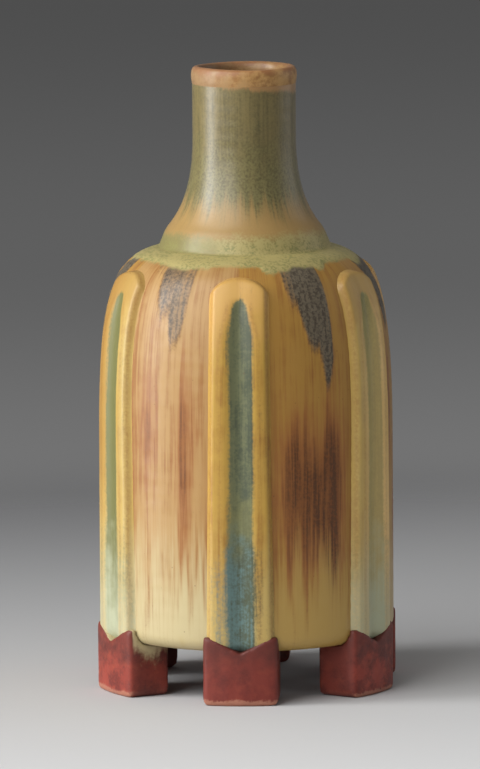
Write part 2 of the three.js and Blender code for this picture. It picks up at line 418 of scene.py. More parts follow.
@dataclass(frozen=True)
class PanelGlaze(Finish):
    """The glaze between the pilasters.

    Ochre that breaks to iron brown, cream at the foot, and slate and green that ran down from the crown.
    """

    ochre: Colour = srgb(169, 127, 58)
    amber: Colour = srgb(142, 94, 42)
    blush_and_sheen: Colour = srgb(174, 137, 85)
    rust: Colour = srgb(152, 94, 48)
    iron: Colour = srgb(120, 71, 32)
    dark_iron: Colour = srgb(76, 45, 24)
    cream: Colour = srgb(180, 148, 80)
    pale_cream: Colour = srgb(193, 179, 136)
    slate: Colour = srgb(108, 100, 84)
    dark_slate: Colour = srgb(69, 63, 54)
    green: Colour = srgb(172, 158, 102)
    moss: Colour = srgb(136, 132, 80)
    cream_top: float = 88.0
    cream_full: float = 36.0
    pilaster_edge: float = 17.0
    pooled: float = 5.0
    pooled_top: float = 200.0
    pooled_full: float = 120.0

    def paint(self, spot: Spot) -> Wire:
        """Lays the field, the iron, the cream foot and the two runs over each other.

        Args:
            spot: Where the shader is.

        Returns:
            The colour.
        """
        web = spot.web
        fur = spot.streak(width=1.3, length=40.0, seed=0.4) - 0.5
        run = spot.streak(width=5.5, length=70.0, seed=1.9) - 0.5
        cloud = spot.cloud(size=13.0, seed=2.2) - 0.5
        fleck = spot.cloud(size=1.3, seed=5.5) - 0.5
        # Pale wash, panel by panel: partly a tone that differs round the pot, partly painted sheen, since
        # the lit front-left panel gets the most and the shaded front-right the least.
        blush_and_sheen = (web.film(Film.BLUSH_AND_SHEEN) + run * 0.3 + cloud * 0.3).step(0.1, 0.9)
        tone = web.mix(blush_and_sheen, self.ochre, self.blush_and_sheen)
        tone = web.mix((fur * 0.7 + run * 0.8 + cloud * 0.5).step(-0.25, 0.75) * 0.75, tone, self.amber)
        corner = (abs(spot.across) - self.pilaster_edge).step(self.pooled, 0.0)
        corner = corner * spot.level.step(self.pooled_top, self.pooled_full)
        tone = web.mix(corner * (0.35 + 0.4 * fur), tone, self.amber)
        body = web.film(Film.IRON) + run * 0.40 + fur * 0.30 + cloud * 0.15
        tone = web.mix(body.step(0.05, 0.75) * 0.85, tone, self.rust)
        iron = web.mix((fur + fleck * 0.6).step(-0.3, 0.5), self.iron, self.dark_iron)
        tone = web.mix(body.step(0.45, 1.1) * 0.92, tone, iron)
        foot = (spot.level + fur * 20.0 + run * 34.0).step(self.cream_top, self.cream_full)
        tone = web.mix(foot * 0.92, tone, web.mix(blush_and_sheen, self.cream, self.pale_cream))
        body = web.film(Film.SLATE) + run * 0.25 + fur * 0.25 + fleck * 0.25
        tone = web.mix(body.step(0.1, 0.5) * 0.45, tone, self.amber)
        slate = web.mix((fur * 0.6 + fleck).step(-0.35, 0.45), self.slate, self.dark_slate)
        tone = web.mix(body.step(0.12, 0.9) * 0.95, tone, slate)
        body = web.film(Film.GREEN) + fleck * 0.35 + cloud * 0.2
        green = web.mix((fleck + cloud * 0.6).step(-0.2, 0.6), self.green, self.moss)
        tone = web.mix(body.step(0.2, 0.75), tone, green)
        return web.mix(spot.specks(pitch=2.8, size=0.13, seed=4.0) * 0.45, tone, self.dark_iron)


@dataclass(frozen=True)
class PilasterGlaze(Finish):
    """Ochre straps, orange over the shoulder and cream at the foot, with blue-green pooled in the flute."""

    ochre: Colour = srgb(188, 150, 68)
    honey: Colour = srgb(158, 112, 48)
    orange: Colour = srgb(206, 161, 89)
    dull_orange: Colour = srgb(177, 141, 77)
    cream: Colour = srgb(192, 166, 100)
    celadon: Colour = srgb(194, 184, 144)
    far_right_pale: Colour = srgb(238, 200, 130)
    pale: Colour = srgb(204, 184, 120)
    rust: Colour = srgb(144, 92, 42)
    teal: Colour = srgb(102, 109, 80)
    deep_teal: Colour = srgb(67, 80, 64)
    blue: Colour = srgb(91, 123, 123)
    moss: Colour = srgb(142, 138, 82)
    dark_moss: Colour = srgb(110, 112, 68)
    pale_blue: Colour = srgb(176, 180, 150)
    orange_low: float = 165.0
    orange_full: float = 205.0
    cream_top: float = 92.0
    cream_full: float = 36.0
    blue_top: float = 96.0
    blue_full: float = 60.0
    celadon_top: float = 92.0
    celadon_full: float = 30.0
    pale_level: float = 92.0
    pale_near: float = 3.0
    pale_far: float = 18.0
    thick_right: float = 20.0
    thick_left: float = -60.0
    far_right_start: float = 58.0
    far_right_full: float = 67.0
    far_left_start: float = -0.82
    far_left_full: float = -0.95
    far_left_low: float = 70.0
    far_left_top: float = 130.0
    right_shade_slope: float = 0.06

    def paint(self, spot: Spot) -> Wire:
        """Lays the strap's own colours, its thin ridges and the pool in the flute over each other.

        Args:
            spot: Where the shader is.

        Returns:
            The colour.
        """
        web = spot.web
        fur = spot.streak(width=1.2, length=40.0, seed=8.4) - 0.5
        run = spot.streak(width=4.5, length=70.0, seed=6.9) - 0.5
        cloud = spot.cloud(size=9.0, seed=6.2) - 0.5
        fleck = spot.cloud(size=1.3, seed=9.5) - 0.5
        tone = web.mix((fur * 0.6 + run * 0.7 + cloud * 0.6).step(-0.3, 0.8), self.ochre, self.honey)
        thick = (spot.right + cloud * 30.0).step(self.thick_right, self.thick_left)
        tone = web.mix(spot.every_other.step(0.7, 0.1) * (0.4 + 0.5 * run), tone, self.pale)
        shoulder = (spot.level + cloud * 16.0).step(self.orange_low, self.orange_full)
        # Paler on the straps' far right (+X) side, in the strap and in the flute's pool.
        far_right = spot.right.step(self.far_right_start, self.far_right_full)
        tone = web.mix(far_right * (0.75 + 0.5 * run), tone, self.far_right_pale)
        odd = spot.every_other.step(0.2, 0.8)
        tone = web.mix(shoulder * 0.8, tone, web.mix(odd, self.dull_orange, self.orange))
        # Darker honey on the straps' far left (-X) side, from the middle up.
        far_left = (spot.right / spot.radius).step(self.far_left_start, self.far_left_full)
        far_left = far_left * spot.level.step(self.far_left_low, self.far_left_top)
        tone = web.mix(far_left * 0.7, tone, self.honey)
        foot = (spot.level + fur * 20.0 + run * 34.0).step(self.cream_top, self.cream_full)
        tone = web.mix(foot * 0.85, tone, web.mix(odd, self.celadon, self.cream))
        tone = web.mix(web.film(Film.RIDGE) * (0.3 + 0.4 * fleck), tone, self.rust)
        # Painted shade: each flute's pool is darker and wider towards its right side, as on a flute lit
        # from the left.
        right_shade = spot.across * self.right_shade_slope
        depth = (fur * 0.6 + fleck * 0.6 + cloud * 0.4 + right_shade).step(-0.4, 0.6)
        low = (spot.level + cloud * 20.0).step(self.blue_top, self.blue_full)
        shallow = web.mix(low, self.teal, self.blue)
        teal = web.mix(depth, shallow, self.deep_teal)
        far = abs(spot.level - self.pale_level + cloud * 14.0)
        pale = far.step(self.pale_far, self.pale_near)
        teal = web.mix(pale * 0.3, teal, self.moss)
        moss = web.mix(depth, web.mix(thick, self.moss, self.dark_moss), self.dark_moss)
        thin = (spot.level + cloud * 24.0 + fur * 12.0).step(self.celadon_top, self.celadon_full)
        moss = web.mix(far_right * 0.4, moss, self.far_right_pale)
        moss = web.mix(thin, moss, self.pale_blue)
        pool_colour = web.mix(odd, moss, teal)
        pool = web.film(Film.POOL) * (1.0 + right_shade) + low * 0.12
        pool = (pool + fleck * 0.12 + run * 0.2 + fur * 0.1).step(0.05, 0.36)
        tone = web.mix(pool * 0.95, tone, pool_colour)
        return web.mix(spot.specks(pitch=2.8, size=0.13, seed=2.0) * 0.4, tone, self.rust)


@dataclass(frozen=True)
class NeckGlaze(Finish):
    """Olive glaze on the neck, thin and orange on the flare, and green where it pooled on the band."""

    olive: Colour = srgb(126, 112, 70)
    dark_olive: Colour = srgb(90, 82, 50)
    sage: Colour = srgb(124, 120, 76)
    orange: Colour = srgb(168, 134, 80)
    green: Colour = srgb(172, 158, 102)
    deep_green: Colour = srgb(130, 121, 75)
    moss: Colour = srgb(136, 132, 80)
    tan: Colour = srgb(172, 130, 82)
    edge_level: float = 231.0
    flare_low: float = 234.0
    flare_top: float = 249.0
    band_low: float = 225.0
    sage_top: float = 290.0
    lip_level: float = 300.6
    lip_blend: float = 1.5
    lip_dip: float = 0.12
    deep_left: float = -28.0

    def paint(self, spot: Spot) -> Wire:
        """Lays the neck's olive, the thin flare and the pooled band over each other.

        Args:
            spot: Where the shader is.

        Returns:
            The colour.
        """
        web = spot.web
        fur = spot.streak(width=1.0, length=24.0, seed=11.4) - 0.5
        run = spot.streak(width=3.4, length=40.0, seed=14.9) - 0.5
        cloud = spot.cloud(size=8.0, seed=12.2) - 0.5
        fleck = spot.cloud(size=1.1, seed=13.5) - 0.5
        tone = web.mix((fur * 0.5 + fleck * 0.5 + run * 0.5).step(-0.4, 0.7), self.olive, self.dark_olive)
        sage = (spot.level + cloud * 24.0).step(self.sage_top, self.flare_top)
        tone = web.mix(sage * 0.55, tone, web.mix(fleck.step(-0.3, 0.5), self.sage, self.dark_olive))
        thin = (spot.level + fur * 7.0 + run * 10.0).step(self.flare_top, self.flare_low)
        tone = web.mix(thin * 0.85, tone, self.orange)
        band = (spot.level + cloud * 3.0 + fleck * 3.0).step(self.edge_level, self.band_low)
        green = web.mix((spot.right + cloud * 10.0).step(self.deep_left, 0.0), self.deep_green, self.green)
        tone = web.mix(band, tone, web.mix((fleck + cloud * 0.6).step(-0.2, 0.6), green, self.moss))
        rim = spot.level + spot.right * self.lip_dip + cloud * 2.5 + fur * 1.5
        rim = rim.step(self.lip_level - self.lip_blend, self.lip_level + self.lip_blend)
        tone = web.mix(rim * 0.9, tone, self.tan)
        return web.mix(spot.specks(pitch=2.4, size=0.14, seed=6.0) * 0.45, tone, self.dark_olive)

    def gloss(self, spot: Spot) -> Number:
        """Full on the neck and the flare, little on the pooled band."""
        return self.coat * (0.15 + 0.85 * spot.level.step(self.band_low, self.flare_top))


@dataclass(frozen=True)
class LipGlaze(Finish):
    """Tan lip: the glaze has run off it, and the clay warms through along its crest."""

    tan: Colour = srgb(190, 148, 92)
    dusky: Colour = srgb(140, 114, 86)
    honey: Colour = srgb(156, 112, 64)
    burnt: Colour = srgb(150, 98, 66)
    mouth: Colour = srgb(84, 62, 44)
    dusk_right: float = 10.0
    dusk_left: float = -24.0
    crest: float = 308.5
    crest_blend: float = 2.0
    crest_radius: float = 23.6
    mouth_blend: float = 1.6

    def paint(self, spot: Spot) -> Wire:
        """Lays honey clouds, the dusky side, the burnt crest and the mouth's liner with painted shade over
        the tan.

        Args:
            spot: Where the shader is.

        Returns:
            The colour.
        """
        web = spot.web
        cloud = spot.cloud(size=5.0, seed=21.2) - 0.5
        fleck = spot.cloud(size=1.1, seed=22.5) - 0.5
        tone = web.mix((cloud + fleck * 0.5).step(-0.4, 0.6), self.tan, self.honey)
        dusk = (spot.right + cloud * 16.0).step(self.dusk_right, self.dusk_left)
        tone = web.mix(dusk * 0.7, tone, self.dusky)
        height = spot.level - self.crest + cloud * 3.0
        tone = web.mix(height.step(-self.crest_blend, self.crest_blend) * 0.6, tone, self.burnt)
        # Darker inside the crest: partly the brown liner glaze, partly painted shade inside the mouth.
        within = (spot.radius - self.crest_radius + cloud * 1.5).step(0.0, -self.mouth_blend)
        tone = web.mix(within * 0.45, tone, self.mouth)
        return web.mix(spot.specks(pitch=2.0, size=0.18, seed=8.0) * 0.45, tone, self.burnt)


@dataclass(frozen=True)
class FootGlaze(Finish):
    """Brick-red feet with painted shade on the front foot, darker horns and sides, wiped where they stand.
    """

    brick: Colour = srgb(152, 61, 46)
    dark_brick: Colour = srgb(104, 38, 30)
    ember: Colour = srgb(176, 80, 56)
    dark_red_brown: Colour = srgb(74, 36, 29)
    wiped: Colour = srgb(178, 122, 98)
    lapped: Colour = srgb(193, 179, 136)
    wiped_top: float = 3.4
    wiped_full: float = 2.0
    front_shading: float = 0.65
    front_shade_back: float = 40.0
    front_shade_front: float = 66.0
    lap_low: float = 18.0
    lap_full: float = 27.0
    lap_right: float = -10.0
    lap_left: float = -40.0
    dark_top_low: float = 10.0
    dark_top_high: float = 30.0

    def paint(self, spot: Spot) -> Wire:
        """Lays embers, painted shade on the front foot, darker horns and sides, lapped cream and the wiped
        edge over the brick.

        Args:
            spot: Where the shader is.

        Returns:
            The colour.
        """
        web = spot.web
        cloud = spot.cloud(size=11.0, seed=31.2, detail=4.0) - 0.5
        fleck = spot.cloud(size=1.3, seed=32.5) - 0.5
        tone = web.mix((cloud + fleck * 0.4).step(-0.3, 0.6), self.brick, self.dark_brick)
        tone = web.mix(spot.cloud(size=5.0, seed=33.8).step(0.5, 1.0) * 0.5, tone, self.ember)
        # Painted shade: the foot in front is darker, as the key light falls on its face at a glancing
        # angle.
        front_shade = spot.front.step(self.front_shade_back, self.front_shade_front)
        tone = web.mix(front_shade * self.front_shading, tone, self.dark_brick)
        # Darker towards the top of each foot, at the horns.
        dark_top = (spot.level + cloud * 12.0).step(self.dark_top_low, self.dark_top_high)
        tone = web.mix(dark_top * 0.55, tone, self.dark_red_brown)
        # Darker on the side faces, which turn away from the outward direction.
        side = 1.0 - web.film(Film.OUTER_FACE)
        tone = web.mix(side * 0.55, tone, self.dark_red_brown)
        drip = spot.streak(width=2.6, length=14.0, seed=34.6) - 0.5
        lap = (spot.level + drip * 11.0 + fleck * 2.0).step(self.lap_low, self.lap_full)
        lap = lap * side.step(0.15, 0.6) * spot.right.step(self.lap_right, self.lap_left)
        tone = web.mix(lap * 0.85, tone, self.lapped)
        wiped = (spot.level + cloud * 1.6 + fleck).step(self.wiped_top, self.wiped_full)
        tone = web.mix(wiped * 0.75 * web.film(Film.OUTER_FACE), tone, self.wiped)
        return web.mix(spot.specks(pitch=2.4, size=0.16, seed=9.0) * 0.4, tone, self.dark_brick)


@dataclass(frozen=True)
class BareClay(Finish):
    """Unglazed, toasted clay with grog in it."""

    clay: Colour = srgb(120, 80, 58)
    toasted: Colour = srgb(86, 52, 40)
    grog: Colour = srgb(186, 158, 128)

    def paint(self, spot: Spot) -> Wire:
        """Lays toasted clouds and pale grog over the clay.

        Args:
            spot: Where the shader is.

        Returns:
            The colour.
        """
        web = spot.web
        tone = web.mix(spot.cloud(size=14.0, seed=41.2, detail=4.0), self.clay, self.toasted)
        return web.mix(spot.specks(pitch=2.2, size=0.2, seed=12.0) * 0.6, tone, self.grog)


@dataclass(frozen=True)
class LinerGlaze(Finish):
    """The brown liner glaze inside the pot."""

    brown: Colour = srgb(92, 68, 46)
    dark: Colour = srgb(58, 42, 30)

    def paint(self, spot: Spot) -> Wire:
        """Lays dark clouds over the brown."""
        web = spot.web
        return web.mix(spot.cloud(size=10.0, seed=51.2, detail=4.0), self.brown, self.dark)


@dataclass(frozen=True)
class WallLine:
    """A line up the outside of the pot, as points of radius and level from its lower end."""

    points: np.ndarray

    @property
    def along(self) -> np.ndarray:
        """The length along the line at each of its points."""
        steps = np.linalg.norm(np.diff(self.points, axis=0), axis=1)
        return np.concatenate([[0.0], np.cumsum(steps)])

    @property
    def length(self) -> float:
        """The line's whole length."""
        return float(self.along[-1])

    @property
    def normals(self) -> np.ndarray:
        """The outward normal at each of the line's points.

        Returns:
            Rows of radius and level, each of length 1.
        """
        tangent = np.gradient(self.points, axis=0)
        tangent /= np.linalg.norm(tangent, axis=1)[:, None]
        return np.stack([tangent[:, 1], -tangent[:, 0]], axis=1)

    def spaced(self, pitch: float) -> "WallLine":
        """The same line with its points at an even pitch.

        Args:
            pitch: About how far apart the points are.

        Returns:
            The line with its new points.
        """
        count = max(2, round(self.length / pitch) + 1)
        return WallLine(self.place(np.linspace(0, self.length, count)))

    def place(self, lengths: np.ndarray) -> np.ndarray:
        """Radius and level at lengths along the line."""
        return np.stack([np.interp(lengths, self.along, self.points[:, i]) for i in range(2)], axis=-1)

    def outward(self, lengths: np.ndarray) -> np.ndarray:
        """The outward normal at lengths along the line."""
        normals = self.normals
        return np.stack([np.interp(lengths, self.along, normals[:, i]) for i in range(2)], axis=-1)


@dataclass(frozen=True)
class Outline:
    """The pot's sizes, read off the frame, and the lines that they give."""

    barrel_radius: float
    seat: float
    barrel_top: float
    crown: float
    collar_foot_radius: float
    neck_radius: float
    neck_foot: float
    lip_radius: float
    lip_crest: float
    wall: float = 6.0
    neck_wall: float = 4.8
    corner: float = 7.0
    crown_radius: float = 45.0
    shoulder_rise: float = 67.0
    crown_reach: float = 23.5
    crown_fall: float = 7.0
    collar_edge_radius: float = 39.5
    band_height: float = 9.5
    flare_waist: float = 31.0
    lip_height: float = 8.5
    tuck: float = 3.0
    tuck_rise: float = 0.4
    fillet: float = 1.6
    fillet_fall: float = 0.2
    fillet_share: float = 0.22
    edge_share: float = 0.3

    @classmethod
    def from_frame(cls) -> "Outline":
        """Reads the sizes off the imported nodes.

        Returns:
            The outline that fits them.
        """
        barrel_low, barrel_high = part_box("barrel_wall")
        lip_low, lip_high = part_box("lip_ring")
        return cls(
            barrel_radius=-barrel_low.y / MM,
            seat=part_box("base_slab")[0].z / MM,
            barrel_top=barrel_high.z / MM,
            crown=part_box("shoulder_dome")[1].z / MM,
            collar_foot_radius=-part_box("neck_collar")[0].y / MM,
            neck_radius=-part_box("neck_tube")[0].y / MM,
            neck_foot=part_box("neck_collar")[1].z / MM,
            lip_radius=-lip_low.y / MM,
            lip_crest=lip_high.z / MM,
        )

    @property
    def mouth_radius(self) -> float:
        """The inside radius of the neck and lip."""
        return self.neck_radius - self.neck_wall

    @property
    def neck_top(self) -> float:
        """The level where the neck meets the lip."""
        return self.lip_crest - self.lip_height

    def barrel_line(self) -> WallLine:
        """From the rounded bottom edge straight up to the shoulder.

        Returns:
            The line, from its lower end.
        """
        radius = self.barrel_radius
        turn = np.linspace(-math.pi / 2, 0, 13)
        centre = np.array([radius - self.corner, self.seat + self.corner])
        arc = centre + self.corner * np.stack([np.cos(turn), np.sin(turn)], axis=1)
        return WallLine(np.vstack([arc, [radius, self.barrel_top]]))

    def shoulder_line(self) -> WallLine:
        """From the barrel over the shoulder to the edge of the crown, and in under the collar.

        Returns:
            The line, from its lower end.
        """
        radius = self.barrel_radius
        curve = bezier(
            (radius, self.barrel_top),
            (radius, self.barrel_top + self.shoulder_rise),
            (self.crown_radius + self.crown_reach, self.crown - self.crown_fall),
            (self.crown_radius, self.crown),
            steps=120,
        )
        end = [self.collar_foot_radius - self.tuck, self.crown + self.tuck_rise]
        return WallLine(np.vstack([curve, end]))

    def collar_line(self) -> WallLine:
        """From the crown up the steep band, over its rounded edge and up the flare to the neck.

        Returns:
            The line, from its lower end.
        """
        edge = np.array([self.collar_edge_radius, self.crown + self.band_height])
        foot = np.array([self.collar_foot_radius, self.crown])
        waist = (self.neck_radius, self.neck_foot - self.flare_waist)
        flare = bezier(tuple(edge), waist, (self.neck_radius, self.neck_foot), steps=80)
        start = foot + [self.fillet, -self.fillet_fall]
        band = edge - foot
        fillet = bezier(tuple(start), tuple(foot), tuple(foot + self.fillet_share * band), steps=8)
        rounded = bezier(tuple(edge - self.edge_share * band), tuple(edge), tuple(flare[6]), steps=12)
        return WallLine(np.vstack([fillet, rounded, flare[7:]]))

    def neck_line(self) -> WallLine:
        """The straight neck."""
        return WallLine(np.array([[self.neck_radius, self.neck_foot], [self.neck_radius, self.neck_top]]))

    def lip_line(self) -> WallLine:
        """The rolled lip, from the neck's outside over the crest and into the mouth.

        Returns:
            The line, from its lower end.
        """
        foot, crest, radius, mouth = self.neck_top, self.lip_crest, self.lip_radius, self.mouth_radius
        middle, waist = (radius + mouth) / 2, (foot + crest) / 2
        bend = (radius, foot + self.lip_height / 4)
        swell = bezier((self.neck_radius, foot), bend, (radius, waist), steps=16)
        over = bezier((radius, waist), (radius, crest), (middle, crest), steps=20)
        inside = bezier((middle, crest), (mouth, crest), (mouth, waist), steps=20)
        return WallLine(np.vstack([swell, over[1:], inside[1:]]))


@dataclass(frozen=True)
class Throwing:
    """The marks of the wheel: faint spiral rings, and a wall that is a little out of round."""

    ring_pitch: float = 7.0
    ring_depth: float = 0.035
    ring_fade: float = 19.0
    sway: float = 0.18
    twist: float = 120.0
    counter_twist: float = 80.0

    def relief(self, angle: np.ndarray, level: np.ndarray) -> np.ndarray:
        """How far the wall stands out.

        Args:
            angle: Angles round the axis.
            level: Levels on the wall.

        Returns:
            The height over the wall, in millimetres.
        """
        rings = np.sin(TURN * level / self.ring_pitch + angle) * np.sin(level / self.ring_fade + 2 * angle)
        oval = np.sin(2 * angle + 0.7 + level / self.twist)
        oval = oval + 0.5 * np.sin(3 * angle + 2.1 - level / self.counter_twist)
        return self.ring_depth * rings + self.sway * oval


def on_panel(angle: np.ndarray) -> tuple[np.ndarray, np.ndarray]:
    """Which panel an angle is in, and where it is there.

    Args:
        angle: Angles round the axis.

    Returns:
        The panel's number, and the place from -1 at one pilaster's middle to 1 at the next.
    """
    sector = (angle % TURN) * SIDES / TURN
    panel = np.floor(sector).astype(int) % SIDES
    return panel, (sector - np.floor(sector)) * 2 - 1


@dataclass(frozen=True)
class Finger:
    """One run of glaze: its place on the panel, half its width there, its length and its strength."""

    side: float
    width: float
    length: float
    strength: float = 1.0

    def reach(self, side: np.ndarray) -> np.ndarray:
        """How far down the run reaches at a place on the panel; its end is round."""
        return self.length * np.sqrt(np.clip(1 - ((side - self.side) / self.width) ** 2, 0, 1))


@dataclass(frozen=True)
class Runs:
    """Glaze that ran down from a line in fingers of unlike length, panel by panel."""

    PLACES = (-0.46, -0.23, 0.0, 0.23, 0.46)
    JITTER = 0.06
    WIDTHS = (0.10, 0.20)
    skirt: float
    fingers: tuple[tuple[Finger, ...], ...]
    thickness: float
    bead: float
    soft: float
    bead_reach: float = 3.0
    toe: float = 2.0
    wander: float = 0.02
    wander_length: float = 13.0

    @classmethod
    def drawn(
        cls,
        seed: int,
        given: Mapping[int, tuple[Finger, ...]],
        lengths: tuple[float, float],
        **sizes: float,
    ) -> "Runs":
        """given: The runs of the panels that are listed, by panel.
            lengths: The shortest and longest run.
            sizes: The other fields.

        Returns:
            Runs for all the panels.
        """
        draw = random.Random(seed)
        panels = []
        for panel in range(SIDES):
            drawn = []
            for side in cls.PLACES:
                place = side + draw.uniform(-cls.JITTER, cls.JITTER)
                drawn.append(Finger(place, draw.uniform(*cls.WIDTHS), draw.uniform(*lengths)))
            panels.append(given.get(panel, tuple(drawn)))
        return cls(fingers=tuple(panels), **sizes)

    def laid(self, angle: np.ndarray, fallen: np.ndarray) -> tuple[np.ndarray, np.ndarray]:
        """Where the glaze lies and how thick.

        Args:
            angle: Angles round the axis.
            fallen: Lengths down from the line where the runs start.

        Returns:
            How much the glaze covers, from 0 to 1, and how high it stands, with a bead at each run's end.
        """
        panel, side = on_panel(angle)
        side = side + self.wander * np.sin(fallen / self.wander_length + panel * 1.7)
        cover = ease(-self.soft / 2, self.soft / 2, self.skirt - fallen)
        height = self.raised(self.skirt - fallen)
        for number, fingers in enumerate(self.fingers):
            for finger in fingers:
                left = np.where(panel == number, self.skirt + finger.reach(side) - fallen, -self.soft)
                cover = np.maximum(cover, finger.strength * ease(-self.soft / 2, self.soft / 2, left))
                height = np.maximum(height, finger.strength * self.raised(left))
        return cover, height

    def raised(self, left: np.ndarray) -> np.ndarray:
        """How high the glaze stands at a length above a run's end."""
        bead = np.exp(-(((left - self.bead_reach) / self.bead_reach) ** 2)) * self.bead
        return ease(-self.toe, self.bead_reach, left) * (self.thickness + bead)


@dataclass(frozen=True)
class Stain:
    """A soft stain in the glaze: its place on the panel and the wall, half its sizes and its strength."""

    side: float
    level: float
    width: float
    height: float
    strength: float

    def density(self, side: np.ndarray, level: np.ndarray) -> np.ndarray:
        """How strong the stain is at a place on the panel and a level."""
        far = ((side - self.side) / self.width) ** 2 + ((level - self.level) / self.height) ** 2
        return self.strength * np.exp(-far)


@dataclass(frozen=True)
class Stains:
    """The stains of all the panels."""

    PLACES = (-0.3, 0.0, 0.3)
    JITTER = 0.1
    LEVELS = (85.0, 140.0)
    WIDTHS = (0.12, 0.20)
    HEIGHTS = (26.0, 44.0)
    STRENGTHS = (0.35, 1.0)
    panels: tuple[tuple[Stain, ...], ...]

    @classmethod
    def drawn(cls, seed: int, given: Mapping[int, tuple[Stain, ...]]) -> "Stains":
        """Draws stains for every panel, apart from those that are given.

        Args:
            seed: Which stains.
            given: The stains of the panels that are listed, by panel.

        Returns:
            Stains for all the panels.
        """
        draw = random.Random(seed)
        panels = []
        for panel in range(SIDES):
            drawn = []
            for side in cls.PLACES:
                place = (side + draw.uniform(-cls.JITTER, cls.JITTER), draw.uniform(*cls.LEVELS))
                sizes = (draw.uniform(*cls.WIDTHS), draw.uniform(*cls.HEIGHTS))
                drawn.append(Stain(*place, *sizes, draw.uniform(*cls.STRENGTHS)))
            panels.append(given.get(panel, tuple(drawn)))
        return cls(tuple(panels))

    def density(self, angle: np.ndarray, level: np.ndarray) -> np.ndarray:
        """How strong the stains are.

        Args:
            angle: Angles round the axis.
            level: Levels on the wall.

        Returns:
            The stains' strength, up to 1.
        """
        panel, side = on_panel(angle)
        total = np.zeros_like(level)
        for number, stains in enumerate(self.panels):
            for stain in stains:
                total = np.where(panel == number, total + stain.density(side, level), total)
        return np.minimum(total, 1.0)


Skin = tuple[np.ndarray, Mapping[Film, np.ndarray]]


def plain_object(name: str, mesh: bpy.types.Mesh) -> bpy.types.Object:
    """Puts a mesh into the scene, unturned at the origin.

    Args:
        name: The object's name.
        mesh: Its mesh, with its place in its vertices.

    Returns:
        The object.
    """
    made = bpy.data.objects.new(name, mesh)
    bpy.context.scene.collection.objects.link(made)
    return made


def smooth_mesh(name: str, points: np.ndarray, quads: np.ndarray) -> bpy.types.Mesh:
    """Makes a smooth mesh.

    Args:
        name: The mesh's name.
        points: Rows of x, y and z in millimetres.
        quads: Rows of four point numbers.

    Returns:
        The mesh in metres.
    """
    mesh = bpy.data.meshes.new(name)
    mesh.from_pydata((points * MM).tolist(), [], quads.tolist())
    mesh.polygons.foreach_set("use_smooth", np.ones(len(quads), bool))
    mesh.update()
    return mesh


def keep_film(mesh: bpy.types.Mesh, kind: Film, values: np.ndarray) -> None:
    """Stores one glaze layer on a mesh's first points, and none on the rest.

    Args:
        mesh: The mesh.
        kind: The layer.
        values: Its values, point by point.
    """
    padded = np.zeros(len(mesh.vertices), np.float32)
    padded[: values.size] = values.ravel()
    mesh.attributes.new(kind.value, "FLOAT", "POINT").data.foreach_set("value", padded)


def settle(piece: bpy.types.Object, slot: str, *nodes: str) -> None:
    """Ties a finished piece to the frame.

    Args:
        piece: The piece.
        slot: The record's material slot that its finish stands for; not used.
        nodes: The CAD nodes that it stands for.
    """
    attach(piece, "root")
    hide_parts(*nodes)
    LOG.info("%s: %d faces, for %s", piece.name, len(piece.data.polygons), ", ".join(nodes))


@dataclass
class ThrownRing:
    """A thrown ring: an outer line with relief, an inner line, and the two edges between them."""

    name: str
    node: str
    outer: WallLine
    inner: np.ndarray
    finish: Finish
    liner: Finish
    pitch: float
    segments: int
    hidden_top: bool = True

    def build(self, skin: Callable[[np.ndarray, np.ndarray, np.ndarray], Skin]) -> None:
        """Turns the ring, dresses it and ties it to the frame.

        Args:
            skin: The outer face's height and glaze layers, by angle, radius and level.
        """
        line = self.outer.spaced(self.pitch)
        rows = len(line.points)
        loop = np.vstack([line.points, self.inner])
        around = np.arange(self.segments) * TURN / self.segments
        radius = np.repeat(loop[:, :1], self.segments, axis=1)
        level = np.repeat(loop[:, 1:], self.segments, axis=1)
        angle = np.repeat(around[None], rows, axis=0)
        relief, films = skin(angle, radius[:rows], level[:rows])
        radius[:rows] += relief * line.normals[:, :1]
        level[:rows] += relief * line.normals[:, 1:]
        points = np.stack([radius * np.sin(around), -radius * np.cos(around), level], axis=-1)
        mesh = smooth_mesh(self.name, points.reshape(-1, 3), self.faces(len(loop)))
        self.crease(mesh, [0, rows - 1] if self.hidden_top else [0])
        for kind, values in films.items():
            keep_film(mesh, kind, values)
        mesh.materials.append(self.finish.material())
        mesh.materials.append(self.liner.material())
        ring = np.arange(len(mesh.polygons)) // self.segments
        place = np.where(ring < rows - 1, Face.OUTSIDE.value, Face.INSIDE.value)
        mesh.polygons.foreach_set("material_index", place.astype(np.int32))
        settle(plain_object(self.name, mesh), self.finish.slot, self.node)

    def faces(self, count: int) -> np.ndarray:
        """The quads round the closed loop.

        Args:
            count: The number of points in the loop.

        Returns:
            Rows of four point numbers, loop point by loop point.
        """
        number = np.arange(count * self.segments).reshape(count, self.segments)
        up, on = np.roll(number, -1, axis=0), np.roll(number, -1, axis=1)
        return np.stack([number, on, np.roll(up, -1, axis=1), up], axis=-1).reshape(-1, 4)

    def crease(self, mesh: bpy.types.Mesh, rows: list[int]) -> None:
        """Marks hidden edges sharp, so that the outer face shades smoothly into its neighbours'.

        Args:
            mesh: The ring's mesh.
            rows: The rows of points whose edges are marked.
        """
        pairs = np.zeros(len(mesh.edges) * 2, np.int32)
        mesh.edges.foreach_get("vertices", pairs)
        rings = pairs.reshape(-1, 2) // self.segments
        sharp = (rings[:, 0] == rings[:, 1]) & np.isin(rings[:, 0], rows)
        mesh.attributes.new("sharp_edge", "BOOLEAN", "EDGE").data.foreach_set("value", sharp)


